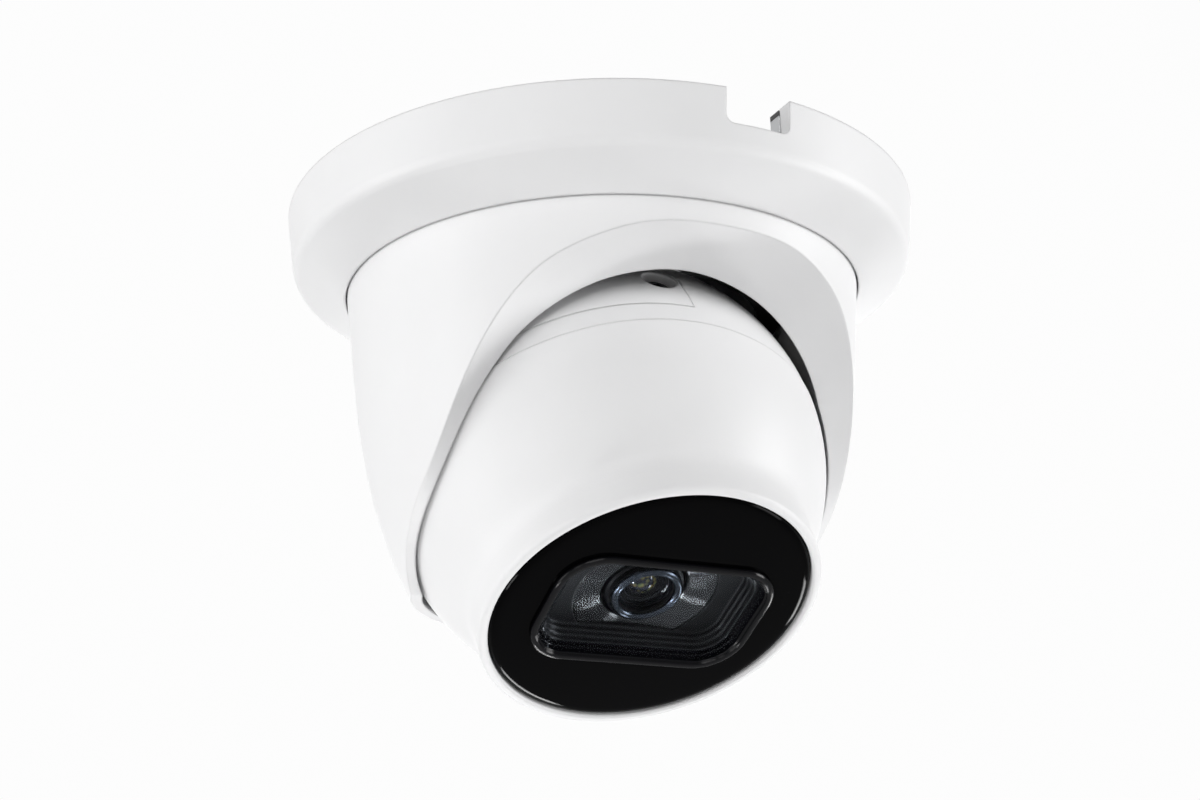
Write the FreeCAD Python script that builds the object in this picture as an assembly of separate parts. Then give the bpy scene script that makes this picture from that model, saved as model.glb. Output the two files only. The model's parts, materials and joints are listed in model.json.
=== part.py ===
import FreeCAD, Part
import math
import os

# Turret ("eyeball") security camera, hung from a ceiling.
# Frame: origin at the centre of the mounting face, +Z up into the ceiling, the cup's front is -Y.
# Lengths are in millimetres, angles in degrees. Heights inside the cup and the ball are given
# from the ball's centre. The ball's own frame has its origin there, +z along the optical axis,
# +y towards the top of the face and +x to the object's right (+X).

V = FreeCAD.Vector

# Mounting flange
FLANGE_R = 61.0                 # at the mounting face
FLANGE_EDGE_R = 59.8            # at the lower edge of the side wall
FLANGE_EDGE_Z = -10.9
FLANGE_EDGE_ROUND = 2.4
FLANGE_BORE_R = 57.75
SEAM_R = 49.4                   # the cup where it leaves the flange
SEAM_Z = -15.9
SEAM_GAP = 0.35
NOTCH_W = 12.5                  # side cable notch
NOTCH_D = 6.3
CEILING_PCD = 88.0
CEILING_HOLE_R = 2.3

# Cup
CUP_TAPER = 0.094
CUP_ROUND_Z = -30.9             # the straight taper ends here
CUP_ROUND_H = 67.5              # height of the superelliptic lower part
CUP_POWER = 2.4
CUP_BOTTOM_Z = -74.2
HOOK_R = 52.6                   # the cup's upper rim, held by the flange
HOOK_TOP_Z = -10.2
OPENING_AZIMUTHS = (0, 18, 30, 42, 54, 66, 78, 90, 105, 120)
BROW_HEIGHTS = (30.9, 30.1, 27.1, 21.6, 10.8, -2.0, -10.2, -16.2, -22.8, -28.8)
LIP_HEIGHTS = (28.3, 26.7, 23.9, 18.9, 10.3, -2.9, -11.6, -17.0, -22.5, -28.2)
LIP_RADII = (34.5, 35.5, 36.8, 38.5, 40.6, 41.8, 40.3, 38.3, 35.4, 31.0)

# Ball
BALL_Z = -50.75
BALL_R = 41.1                   # front shell
REAR_R = 40.9                   # rear shell, a hair smaller
BALL_GAP = 0.8
TILT = 28.15                    # optical axis from straight down, at rest
SHELL_T = 2.4
SEAM_T = 2.0                    # joint between the two shells, along the optical axis
COLLAR_R = 31.4
NECK_ROUND = 7.7
FACE_T = 33.6                   # plane of the black front panel's edge
PANEL_R = 29.6
SPIGOT_R = 38.1
SPIGOT_INNER_R = 34.6
SWIVEL_CLEARANCE = 0.07
SHOULDER_R = 36.5

# Lens window
FRAME_W, FRAME_H, FRAME_ROUND = 42.6, 26.6, 8.5
GLASS_W, GLASS_H, GLASS_ROUND = 39.2, 23.6, 6.6
RECESS_W, RECESS_H, RECESS_ROUND = 34.8, 19.2, 4.6
FRAME_RISE = 0.8
SHROUD_FLOOR_T = 29.2
GROOVED_R = 13.4
LENS_HOLE_R = 8.0
LENS_RING_R = 6.7
PUPIL_R = 5.15
LENS_FRONT_T = 30.0

# Access cover on the rear shell: angles turn about the optical axis from +y towards -x
COVER_FROM, COVER_TO = -0.7, 80.7
COVER_FRONT_T, COVER_REAR_T = -2.4, -21.0
COVER_T = 1.2
COVER_SCREW_ANGLES = (5.0, 75.0)
COVER_SCREW_T = -11.0
WELL_R = 3.3
GLAND_ANGLE = 39.0              # cable gland, from the rear pole towards +y

# Electronics
BOARD_T = -12.0                 # rear face of the main board
SERVICE_ANGLE = 34.0            # the card socket looks out under the access cover
RESET_ANGLE = 60.0
TRAY_TRAVEL = 6.0


# ---- building blocks -------------------------------------------------------------------------

def revolve(edges):
    """Solid of revolution about Z of a closed outline in the XZ plane."""
    face = Part.Face(Part.Wire(edges))
    return face.revolve(V(0, 0, 0), V(0, 0, 1), 360)


def outline(points):
    """Straight edges round the (radius, height) points."""
    corners = [V(r, 0, z) for r, z in points]
    return [Part.makeLine(a, b) for a, b in zip(corners, corners[1:] + corners[:1])]


def turned(points):
    return revolve(outline(points))


def ring(inner, outer, low, high):
    return turned([(inner, low), (outer, low), (outer, high), (inner, high)])


def rod(radius, low, high, x=0.0, y=0.0):
    return Part.makeCylinder(radius, high - low, V(x, y, low), V(0, 0, 1))


def block(width, depth, low, high, x=0.0, y=0.0):
    return Part.makeBox(width, depth, high - low, V(x - width / 2, y - depth / 2, low))


def rounded_block(width, depth, radius, low, high):
    """Prism with rounded vertical edges, centred on the Z axis."""
    body = block(width, depth, low, high)
    uprights = [e for e in body.Edges if abs(e.Vertexes[0].Z - e.Vertexes[1].Z) > 1e-6]
    return body.makeFillet(radius, uprights)


def ball_solid(radius):
    return Part.makeSphere(radius)


def arc(a, middle, b):
    return Part.Arc(V(a[0], 0, a[1]), V(middle[0], 0, middle[1]), V(b[0], 0, b[1])).toShape()


def line(a, b):
    return Part.makeLine(V(a[0], 0, a[1]), V(b[0], 0, b[1]))


def turn_z(shape, angle):
    copy = shape.copy()
    copy.rotate(V(0, 0, 0), V(0, 0, 1), angle)
    return copy


def around(shape, angles):
    return [turn_z(shape, a) for a in angles]


def union(shapes):
    first, rest = shapes[0], shapes[1:]
    return first.fuse(rest).removeSplitter() if rest else first


def polar(radius, angle):
    """A point of the ball's xy plane; the angle turns from +y towards -x."""
    a = math.radians(angle)
    return -radius * math.sin(a), radius * math.cos(a)


def aim(shape, angle, latitude=0.0):
    """Turns a piece that stands along +z so that it points out of the ball's axis.

    The direction is at the angle about the optical axis, and latitude above the xy plane."""
    copy = shape.copy()
    copy.rotate(V(0, 0, 0), V(1, 0, 0), -90 + latitude)
    copy.rotate(V(0, 0, 0), V(0, 0, 1), angle)
    return copy


def torx_socket(radius, low, high):
    """Six-lobed driver socket."""
    corners = []
    for i in range(12):
        a = math.radians(30 * i)
        r = radius if i % 2 == 0 else radius * 0.68
        corners.append(V(r * math.cos(a), r * math.sin(a), low))
    face = Part.Face(Part.makePolygon(corners + corners[:1]))
    return face.extrude(V(0, 0, high - low))


def screw(head_r, head_h, shank_r, shank_l):
    """Pan-head screw standing on the plane z = 0, shank down."""
    head = rod(head_r, 0, head_h)
    rim = [e for e in head.Edges if abs(e.BoundBox.ZMin - head_h) < 1e-6]
    head = head.makeFillet(head_h * 0.4, rim)
    driver = torx_socket(head_r * 0.5, head_h * 0.35, head_h + 1)
    return union([head, rod(shank_r, -shank_l, 0.0)]).cut(driver)


def at(shape, x=0.0, y=0.0, z=0.0):
    copy = shape.copy()
    copy.translate(V(x, y, z))
    return copy


def flip(shape):
    copy = shape.copy()
    copy.rotate(V(0, 0, 0), V(1, 0, 0), 180)
    return copy


# ---- mounting base, fixed to the ceiling -----------------------------------------------------

BASE_PLATE_LOW, BASE_PLATE_HIGH = -7.5, -5.0
BASE_R = 57.4
BASE_HOLE_R = 16.0
GASKET_T = 1.0
GUIDE_CLEARANCE = 0.08
BOSS_ANGLES = (60, 180, 300)


def cable_channel(width, depth, inner_y):
    """The space of the side cable notch, open at the mounting face."""
    long_box = rounded_block(width, 2 * depth, 1.6, 0, 40)
    long_box.rotate(V(0, 0, 0), V(1, 0, 0), 90)
    return at(long_box, 0, -inner_y, 0)


def trim_ring():
    ledge_r = SEAM_R + SEAM_GAP
    body = turned([
        (FLANGE_R, 0), (FLANGE_EDGE_R, FLANGE_EDGE_Z), (ledge_r, SEAM_Z),
        (ledge_r, SEAM_Z + 2.3), (FLANGE_BORE_R, -9.6), (FLANGE_BORE_R, 0)])
    edge = [e for e in body.Edges if abs(e.BoundBox.ZMax - FLANGE_EDGE_Z) < 1e-6
            and e.BoundBox.XMax > FLANGE_EDGE_R - 0.1]
    body = body.makeFillet(FLANGE_EDGE_ROUND, edge)
    sector = Part.makeCylinder(FLANGE_BORE_R + 0.5, 1.9, V(0, 0, -9.6), V(0, 0, 1), 24)
    lug = sector.cut(rod(55.7, -10, -7))
    body = union([body] + around(lug, (18, 138, 258)))
    body = body.cut(cable_channel(NOTCH_W, NOTCH_D, 45))
    lock_hole = Part.makeCylinder(1.6, 8, V(0, 54, -4.2), V(0, 1, 0))
    return body.cut(lock_hole)


def mounting_base():
    body = union([
        ring(BASE_HOLE_R, BASE_R, BASE_PLATE_LOW, BASE_PLATE_HIGH),
        ring(54.6, BASE_R, BASE_PLATE_LOW, -GASKET_T),
        ring(BASE_HOLE_R, BASE_HOLE_R + 2, BASE_PLATE_LOW, -2.5),
        ring(HOOK_R + GUIDE_CLEARANCE, 55.4, -10.0, BASE_PLATE_LOW)])
    boss = rod(6.5, BASE_PLATE_LOW, 0, 0, -CEILING_PCD / 2)
    rib = block(1.8, 23, BASE_PLATE_LOW, -2.5, 0, -43.3)
    body = union([body] + around(boss, BOSS_ANGLES) + around(rib, (30, 90, 120, 150, 210, 240, 270, 330)))
    hole = union([rod(CEILING_HOLE_R, -8, 1, 0, -CEILING_PCD / 2),
                  rod(4.6, -8, -4.6, 0, -CEILING_PCD / 2)])
    for cut in around(hole, BOSS_ANGLES):
        body = body.cut(cut)
    body = body.cut(cable_channel(NOTCH_W, NOTCH_D, 28))
    return body.cut(Part.makeCylinder(1.25, 6, V(0, 53, -4.2), V(0, 1, 0)))


def wall_gasket():
    return ring(54.6, BASE_R, -GASKET_T, 0).cut(cable_channel(NOTCH_W, NOTCH_D, 28))


def lock_screw():
    """Grub screw through the flange's rear wall, which locks the trim ring."""
    body = rod(1.2, 0, 5.5).cut(torx_socket(0.75, 4.3, 6))
    body.rotate(V(0, 0, 0), V(1, 0, 0), -90)
    return at(body, 0, 54.9, -4.2)


def pan_slip_ring():
    return ring(50.0, 52.4, HOOK_TOP_Z + 0.3, BASE_PLATE_LOW)


# ---- cup, which pans -------------------------------------------------------------------------

SEAT_FLOOR = 31.0               # heights above the ball's centre
SEAT_R = 40.0
SEAT_TOP = 33.0
SEAT_BORE_R = 29.85
HOLLOW_R = 46.4
CLAMP_T = 1.8
CLAMP_SCREW_R = 44.0
CLAMP_ANGLES = (70, 180, 290)


def cup_radius(z):
    """Outer radius of the cup at the height z below the mounting face."""
    straight = SEAM_R - CUP_TAPER * (SEAM_Z - z)
    if z > CUP_ROUND_Z:
        return straight
    s = (CUP_ROUND_Z - z) / CUP_ROUND_H
    return straight * (1 - s ** CUP_POWER) ** (1 / CUP_POWER)


def cup_outer():
    steps = 16
    low = CUP_BOTTOM_Z
    heights = [CUP_ROUND_Z + (low - CUP_ROUND_Z) * i / steps for i in range(steps + 1)]
    flank = Part.BSplineCurve()
    flank.interpolate([V(cup_radius(z), 0, z) for z in heights])
    corner = (cup_radius(CUP_ROUND_Z), CUP_ROUND_Z)
    foot = (cup_radius(low), low)
    path = [(0, HOOK_TOP_Z), (HOOK_R, HOOK_TOP_Z), (HOOK_R, HOOK_TOP_Z - 1.5),
            (SEAM_R, HOOK_TOP_Z - 3.1), (SEAM_R, SEAM_Z), corner]
    edges = [line(a, b) for a, b in zip(path, path[1:])]
    edges.append(flank.toShape())
    edges += [line(foot, (0, low)), line((0, low), (0, HOOK_TOP_Z))]
    return revolve(edges)


def ball_cavity():
    """The space the ball turns in: a sphere, and above it a wall that closes in to the lip."""
    r = BALL_R + BALL_GAP
    meet = 10.7
    low = -30.0
    shoulder = (math.sqrt(r * r - meet * meet), meet)
    foot = (math.sqrt(r * r - low * low), low)
    wall_middle = (38.1, 20.5)
    lip = (LIP_RADII[0], LIP_HEIGHTS[0])
    edges = [
        arc(foot, (r, 0), shoulder), arc(shoulder, wall_middle, lip),
        line(lip, (LIP_RADII[0], SEAT_FLOOR + 1)),
        line((LIP_RADII[0], SEAT_FLOOR + 1), (0, SEAT_FLOOR + 1)),
        line((0, SEAT_FLOOR + 1), (0, low)), line((0, low), foot)]
    return at(revolve(edges), z=BALL_Z)


def opening_curve(heights, radii):
    points = []
    for sign in (-1, 1):
        half = []
        for azimuth, z, r in zip(OPENING_AZIMUTHS, heights, radii):
            a = math.radians(azimuth)
            half.append(V(sign * r * math.sin(a), -r * math.cos(a), z + BALL_Z))
        points += half[:0:-1] if sign < 0 else half
    azimuths = [-a for a in OPENING_AZIMUTHS[:0:-1]] + list(OPENING_AZIMUTHS)
    curve = Part.BSplineCurve()
    curve.interpolate(Points=points, Parameters=[float(a) for a in azimuths])
    return curve.toShape()


def opening_cutter(raise_by=0.0):
    """Everything under the brow's soffit: a ruled surface from lip to brow, swept down.

    At each azimuth the soffit is the straight line from the lip to the brow, carried on inwards
    and outwards past the wall."""
    inward, outward = 11.0, 7.0
    inner_r, inner_z, outer_r, outer_z = [], [], [], []
    for brow, lip, lip_r in zip(BROW_HEIGHTS, LIP_HEIGHTS, LIP_RADII):
        brow_r = cup_radius(max(brow + BALL_Z, CUP_BOTTOM_Z - 6))
        slope = (brow - lip) / max(brow_r - lip_r, 2.0)
        inner_r.append(lip_r - inward)
        inner_z.append(lip - slope * inward + raise_by)
        outer_r.append(brow_r + outward)
        outer_z.append(brow + slope * outward + raise_by)
    soffit = Part.makeRuledSurface(opening_curve(inner_z, inner_r), opening_curve(outer_z, outer_r))
    return soffit.extrude(V(0, 0, -75))


def cup_hollow():
    """The space between the cup's inner and outer walls, and the open top."""
    top = HOOK_TOP_Z - BALL_Z + 1
    well = turned([(42.0, SEAT_TOP), (HOLLOW_R, SEAT_TOP), (46.2, 26), (44.3, 9.7), (42.4, 9.7), (41.0, 22)])
    hollow = union([well, ring(0.0, HOLLOW_R, SEAT_TOP, top)])
    hollow = union([hollow, ring(0.0, SEAT_R, SEAT_FLOOR, SEAT_TOP)])
    hollow = at(hollow, z=BALL_Z)
    post = rod(2.9, BALL_Z + 8, BALL_Z + SEAT_TOP, 0, -CLAMP_SCREW_R)
    for left_in in around(post, CLAMP_ANGLES):
        hollow = hollow.cut(left_in)
    return hollow.cut(opening_cutter(raise_by=2.0))


def cup_shell():
    body = cup_outer().cut(cup_hollow()).cut(ball_cavity())
    body = body.cut(opening_cutter())
    pilot = rod(0.95, BALL_Z + SEAT_TOP - 9, BALL_Z + SEAT_TOP + 1, 0, -CLAMP_SCREW_R)
    for cut in around(pilot, CLAMP_ANGLES):
        body = body.cut(cut)
    return body


def ball_seat_ring():
    """Rubber ring over the top of the ball, held in the cup above the lip."""
    lip_r = LIP_RADII[0] - 0.3
    lip_low = SEAT_FLOOR - 0.6
    flange_low, flange_top = SEAT_FLOOR + 0.02, SEAT_TOP - 0.1
    flange_r = SEAT_R - 0.2
    body = turned([
        (SEAT_BORE_R, lip_low), (lip_r, lip_low), (lip_r, flange_low),
        (flange_r, flange_low), (flange_r, flange_top), (SEAT_BORE_R, flange_top)])
    return at(body.cut(ball_solid(BALL_R + 0.3)), z=BALL_Z)


def seat_clamp_ring():
    body = ring(33.0, HOLLOW_R - 0.4, SEAT_TOP, SEAT_TOP + CLAMP_T)
    for cut in around(rod(1.3, 30, 40, 0, -CLAMP_SCREW_R), CLAMP_ANGLES):
        body = body.cut(cut)
    return at(body, z=BALL_Z)


def clamp_screws():
    one = at(screw(2.2, 1.5, 0.9, 8.0), 0, -CLAMP_SCREW_R, BALL_Z + SEAT_TOP + CLAMP_T)
    return Part.makeCompound(around(one, CLAMP_ANGLES))


def lip_pads():
    """Three friction pads in the cup's lower lip."""
    shell = ball_solid(BALL_R + BALL_GAP).cut(ball_solid(BALL_R + 0.3))
    pads = []
    for azimuth in (112, 180, 248):
        peg = rod(3.2, 30, 50)
        peg.rotate(V(0, 0, 0), V(1, 0, 0), 90 + 14)
        pads.append(shell.common(turn_z(peg, azimuth)))
    return at(Part.makeCompound(pads), z=BALL_Z)


# ---- ball, rear shell (tilts) ----------------------------------------------------------------

WELL_BOSS_R = WELL_R + 2.4
SWIVEL_LOW_T = -5.0             # rear face of the ring that keeps the front shell on
MAIN_POSTS = [polar(28.5, angle) for angle in (125, 180, 235, 300)]


def cover_patch(inner, outer, inset, corner):
    """A piece of spherical shell in the outline of the access cover, its corners rounded."""
    t_front = COVER_FRONT_T - inset
    t_rear = COVER_REAR_T + inset
    margin = math.degrees(inset / outer)

    def at_height(r, t):
        return (math.sqrt(r * r - t * t), t)

    middle = (t_front + t_rear) / 2
    edges = [
        arc(at_height(inner, t_rear), at_height(inner, middle), at_height(inner, t_front)),
        line(at_height(inner, t_front), at_height(outer, t_front)),
        arc(at_height(outer, t_front), at_height(outer, middle), at_height(outer, t_rear)),
        line(at_height(outer, t_rear), at_height(inner, t_rear))]
    face = Part.Face(Part.Wire(edges))
    face = turn_z(face, 90 + COVER_FROM + margin)
    span = COVER_TO - COVER_FROM - 2 * margin
    patch = face.revolve(V(0, 0, 0), V(0, 0, 1), span)
    for t, back in ((t_front, -1), (t_rear, 1)):
        r = math.sqrt(outer * outer - t * t)
        shift = math.degrees(corner / r)
        latitude = math.degrees(math.asin((t - back * corner) / outer))
        for angle, side in ((COVER_FROM + margin + shift, 1), (COVER_TO - margin - shift, -1)):
            waste = block(corner + 2, corner + 2, 20, 50, side * (corner / 2 + 1), back * (corner / 2 + 1))
            patch = patch.cut(aim(waste.cut(rod(corner + 0.1, 10, 60)), angle, latitude))
    return patch


def well_latitude():
    return math.degrees(math.asin(COVER_SCREW_T / REAR_R))


def cover_wells(radius, low, high):
    """Rods along the two cover screws."""
    return [aim(rod(radius, low, high), a, well_latitude()) for a in COVER_SCREW_ANGLES]


def access_cover():
    body = cover_patch(REAR_R - COVER_T, REAR_R, 0.12, 4.0)
    body = union([body] + cover_wells(WELL_R + 0.9, 36.8, REAR_R - 0.6))
    for cut in cover_wells(WELL_R, 37.8, 45) + cover_wells(1.3, 36, 38):
        body = body.cut(cut)
    return body


def cover_gasket():
    body = cover_patch(REAR_R - COVER_T - 0.6, REAR_R - COVER_T, 0.5, 3.6)
    body = body.cut(service_window())
    for cut in cover_wells(WELL_R + 1.0, 30, 45):
        body = body.cut(cut)
    return body


def service_window():
    """The hole in the rear shell under the cover, between the two screws."""
    sector_from, sector_to = 15.0, 65.0
    face = Part.Face(Part.Wire(outline([(30, -18.5), (45, -18.5), (45, -5.5), (30, -5.5)])))
    face = turn_z(face, 90 + sector_from)
    return face.revolve(V(0, 0, 0), V(0, 0, 1), sector_to - sector_from)


def gland_aim(shape):
    """Points a piece that stands along +z out of the ball's rear pole, towards +y by the angle."""
    copy = shape.copy()
    copy.rotate(V(0, 0, 0), V(1, 0, 0), -180 + GLAND_ANGLE)
    return copy


def rear_shell():
    shell = ball_solid(REAR_R).cut(ball_solid(REAR_R - SHELL_T))
    half = rod(60, -60, SEAM_T - 0.15)
    shell = shell.common(half)
    journal = ball_solid(REAR_R - 0.2).common(ring(SHOULDER_R, 60, -3.5, SEAM_T - 0.15))
    shell = union([shell, journal])
    shell = shell.cut(rod(SPIGOT_R + SWIVEL_CLEARANCE, -1.75, 10))
    posts = [rod(2.6, -36, BOARD_T, x, y) for x, y in MAIN_POSTS]
    turning_space = rod(SPIGOT_R + SWIVEL_CLEARANCE, SWIVEL_LOW_T - 0.4, 10)
    bosses = [b.cut(turning_space) for b in cover_wells(WELL_BOSS_R, 30.5, REAR_R - 1.0)]
    gland_boss = gland_aim(rod(8.0, 31.0, REAR_R - 1.0))
    extras = [p.common(ball_solid(REAR_R - 0.5)) for p in posts + bosses + [gland_boss]]
    shell = union([shell] + extras)
    shell = shell.cut(cover_patch(REAR_R - COVER_T - 0.6, REAR_R + 2, 0.0, 4.0))
    for cut in cover_wells(WELL_R + 1.0, 36.7, 45) + cover_wells(1.12, 31.5, 37):
        shell = shell.cut(cut)
    shell = shell.cut(service_window())
    shell = shell.cut(gland_aim(rod(5.0, 25, 45)))
    for x, y in MAIN_POSTS:
        shell = shell.cut(rod(0.85, BOARD_T - 7, BOARD_T + 1, x, y))
    return shell


def cover_screws():
    one = screw(2.6, 1.7, 1.1, 5.5)
    return Part.makeCompound([aim(at(one, z=37.8), a, well_latitude()) for a in COVER_SCREW_ANGLES])


def cable_gland():
    """Rubber gland, flush with the ball, with the bore that the lead leaves by."""
    body = union([rod(4.9, 30.4, 39.6), ring(4.0, 6.6, 28.6, 30.4)])
    body = body.cut(rod(2.9, 20, 50)).cut(turned([(2.0, 38.2), (4.2, 41), (0, 41), (0, 38.2)]))
    return gland_aim(body)


def gland_nut():
    hexagon = Part.Face(Part.makePolygon([
        V(7.6 * math.cos(math.radians(60 * i)), 7.6 * math.sin(math.radians(60 * i)), 26.0)
        for i in range(7)])).extrude(V(0, 0, 2.5))
    return gland_aim(hexagon.cut(rod(3.2, 20, 30)))


def main_board():
    board = rod(32.0, BOARD_T, BOARD_T + 1.6)
    board = board.cut(block(30, 20, BOARD_T - 1, BOARD_T + 3, 0, 36))
    for x, y in MAIN_POSTS:
        board = board.cut(rod(1.2, BOARD_T - 1, BOARD_T + 3, x, y))
    for boss in cover_wells(WELL_BOSS_R + 0.4, 25, 45):
        board = board.cut(boss)
    return board


def board_screws():
    one = screw(1.9, 1.2, 0.8, 6.0)
    return Part.makeCompound([at(one, x, y, BOARD_T + 1.6) for x, y in MAIN_POSTS])


def processor():
    return block(14, 14, BOARD_T - 1.4, BOARD_T, 4, -6)


def thermal_pad():
    return block(14, 14, BOARD_T - 2.4, BOARD_T - 1.4, 4, -6)


def heat_spreader():
    plate = block(26, 22, BOARD_T - 4.4, BOARD_T - 2.4, 4, -6)
    fins = [block(26, 1.2, BOARD_T - 8.4, BOARD_T - 4.4, 4, -16 + 4 * i) for i in range(6)]
    return union([plate] + fins)


def network_header():
    shell = block(10, 5, BOARD_T - 6, BOARD_T, -15, -10)
    return shell.cut(block(8.6, 3.6, BOARD_T - 7, BOARD_T - 1.2, -15, -10))


def lead_connector():
    """Socket at the board's centre that the axial lead turns in."""
    return ring(1.2, 3.2, BOARD_T + 1.6, BOARD_T + 3.4)


CARD_W, CARD_L, CARD_T = 11.0, 15.0, 0.9
SOCKET_IN_R = 17.0


def card_socket():
    low = BOARD_T - 2.2
    shell = block(14, 14, low, BOARD_T, 0, SOCKET_IN_R + 7)
    slot = block(CARD_W + 0.3, 20, low + 0.55, BOARD_T - 0.55, 0, SOCKET_IN_R + 11)
    return turn_z(shell.cut(slot), SERVICE_ANGLE)


def memory_card():
    low = BOARD_T - 1.55
    card = block(CARD_W, CARD_L, low, low + CARD_T, 0, SOCKET_IN_R + 1.3 + CARD_L / 2)
    uprights = [e for e in card.Edges if abs(e.Vertexes[0].Z - e.Vertexes[1].Z) > 1e-6]
    return turn_z(card.makeFillet(0.8, uprights), SERVICE_ANGLE)


def reset_switch():
    body = block(4.6, 3.4, BOARD_T - 3.0, BOARD_T, 0, 28.3)
    bore = Part.makeCylinder(1.06, 8, V(0, 27.4, BOARD_T - 1.5), V(0, 1, 0))
    return turn_z(body.cut(bore), RESET_ANGLE)


def reset_button():
    plunger = Part.makeCylinder(1.0, 3.4, V(0, 28.2, BOARD_T - 1.5), V(0, 1, 0))
    return turn_z(plunger, RESET_ANGLE)


# ---- ball, front shell (turns about the optical axis) ----------------------------------------

SWIVEL_SCREW_ANGLES = (45, 135, 225, 315)
SWIVEL_HEAD_T = -4.25
BOARD_POSTS = ((14.5, 14.5), (-14.5, 14.5), (14.5, -14.5), (-14.5, -14.5))
PANEL_TOP = FACE_T - 0.1
HOLDER_SLOT_LOW, HOLDER_SLOT_HIGH = 5.9, 7.5
TRAY_T = 1.0
TRAY_LOW = 6.2


def front_shell():
    inner = BALL_R - SHELL_T
    neck_t = math.sqrt((BALL_R + NECK_ROUND) ** 2 - (COLLAR_R + NECK_ROUND) ** 2)
    share = BALL_R / (BALL_R + NECK_ROUND)
    sphere_end = (share * (COLLAR_R + NECK_ROUND), share * neck_t)
    bend = math.atan2(neck_t, COLLAR_R + NECK_ROUND) / 2
    neck_mid = (COLLAR_R + NECK_ROUND * (1 - math.cos(bend)), neck_t - NECK_ROUND * math.sin(bend))
    seam = (math.sqrt(BALL_R ** 2 - SEAM_T ** 2), SEAM_T)
    mid_a = math.atan2(sphere_end[1], sphere_end[0]) / 2
    sphere_mid = (BALL_R * math.cos(mid_a), BALL_R * math.sin(mid_a))
    rim_round = 0.9
    rim_top = FACE_T + 0.25
    inner_end_t = 24.0
    inner_end = (math.sqrt(inner ** 2 - inner_end_t ** 2) - 1.6, inner_end_t)
    inner_start = (math.sqrt(inner ** 2 - 12.0 ** 2) - 1.0, 12.0)
    edges = [
        arc(seam, sphere_mid, sphere_end), arc(sphere_end, neck_mid, (COLLAR_R, neck_t)),
        line((COLLAR_R, neck_t), (COLLAR_R, rim_top - rim_round)),
        arc((COLLAR_R, rim_top - rim_round), (COLLAR_R - 0.26, rim_top - 0.26),
            (COLLAR_R - rim_round, rim_top)),
        line((COLLAR_R - rim_round, rim_top), (PANEL_R + 0.35, rim_top)),
        line((PANEL_R + 0.35, rim_top), (PANEL_R, rim_top - 0.35)),
        line((PANEL_R, rim_top - 0.35), (PANEL_R, 31.0)), line((PANEL_R, 31.0), (27.6, 31.0)),
        line((27.6, 31.0), inner_end), line(inner_end, inner_start),
        line(inner_start, (SPIGOT_INNER_R, 5.4)), line((SPIGOT_INNER_R, 5.4), (SPIGOT_INNER_R, -3.6)),
        line((SPIGOT_INNER_R, -3.6), (SHOULDER_R - 0.1, -3.6)),
        line((SHOULDER_R - 0.1, -3.6), (SHOULDER_R - 0.1, -1.65)),
        line((SHOULDER_R - 0.1, -1.65), (SPIGOT_R, -1.65)),
        line((SPIGOT_R, -1.65), (SPIGOT_R, SEAM_T)), line((SPIGOT_R, SEAM_T), seam)]
    body = revolve(edges).cut(ring(36.6, SPIGOT_R + 1, -0.65, 0.95))
    for cut in around(rod(0.8, -4, 2, 0, 35.5), SWIVEL_SCREW_ANGLES):
        body = body.cut(cut)
    return body


def swivel_ring():
    """Keeps the front shell on the rear shell, behind the rear shell's shoulder."""
    body = ring(SPIGOT_INNER_R - 0.8, 37.6, SWIVEL_LOW_T, -3.6)
    hole = union([rod(0.9, -8, 0, 0, 35.5), rod(1.45, -8, SWIVEL_HEAD_T, 0, 35.5)])
    for cut in around(hole, SWIVEL_SCREW_ANGLES):
        body = body.cut(cut)
    return body


def swivel_screws():
    one = at(flip(screw(1.35, 0.7, 0.75, 3.6)), 0, 35.5, SWIVEL_HEAD_T)
    return Part.makeCompound(around(one, SWIVEL_SCREW_ANGLES))


def swivel_seal():
    return Part.makeTorus(37.33, 0.7, V(0, 0, 0.15), V(0, 0, 1))


def front_panel():
    """Black acrylic face, slightly crowned, with the hole for the lens window."""
    edge_r = PANEL_R - 0.15
    edges = [
        line((0, 31.4), (edge_r, 31.4)), line((edge_r, 31.4), (edge_r, PANEL_TOP - 1.0)),
        arc((edge_r, PANEL_TOP - 1.0), (edge_r - 0.35, PANEL_TOP - 0.33), (edge_r - 1.1, PANEL_TOP - 0.05)),
        arc((edge_r - 1.1, PANEL_TOP - 0.05), (edge_r / 2, PANEL_TOP + 0.28), (0, PANEL_TOP + 0.4)),
        line((0, PANEL_TOP + 0.4), (0, 31.4))]
    return revolve(edges).cut(rounded_block(GLASS_W + 1.4, GLASS_H + 1.4, GLASS_ROUND + 0.7, 30, 36))


def panel_gasket():
    return ring(27.8, PANEL_R - 0.1, 31.0, 31.4)


def window_frame():
    """Raised frame round the lens window, with a rounded outer edge."""
    top = PANEL_TOP + 0.4 + FRAME_RISE
    body = rounded_block(FRAME_W, FRAME_H, FRAME_ROUND, PANEL_TOP + 0.42, top)
    rim = [e for e in body.Edges if abs(e.BoundBox.ZMin - top) < 1e-6]
    body = body.makeFillet(FRAME_RISE * 0.85, rim)
    neck = rounded_block(GLASS_W + 1.2, GLASS_H + 1.2, GLASS_ROUND + 0.6, 31.4, PANEL_TOP + 0.5)
    body = union([body, neck])
    body = body.cut(rounded_block(GLASS_W + 0.1, GLASS_H + 0.1, GLASS_ROUND, 32.6, 40))
    return body.cut(rounded_block(RECESS_W + 1.6, RECESS_H + 1.6, RECESS_ROUND + 0.8, 30, 40))


def lens_window():
    return rounded_block(GLASS_W, GLASS_H, GLASS_ROUND, 32.6, PANEL_TOP + 0.5)


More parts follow.
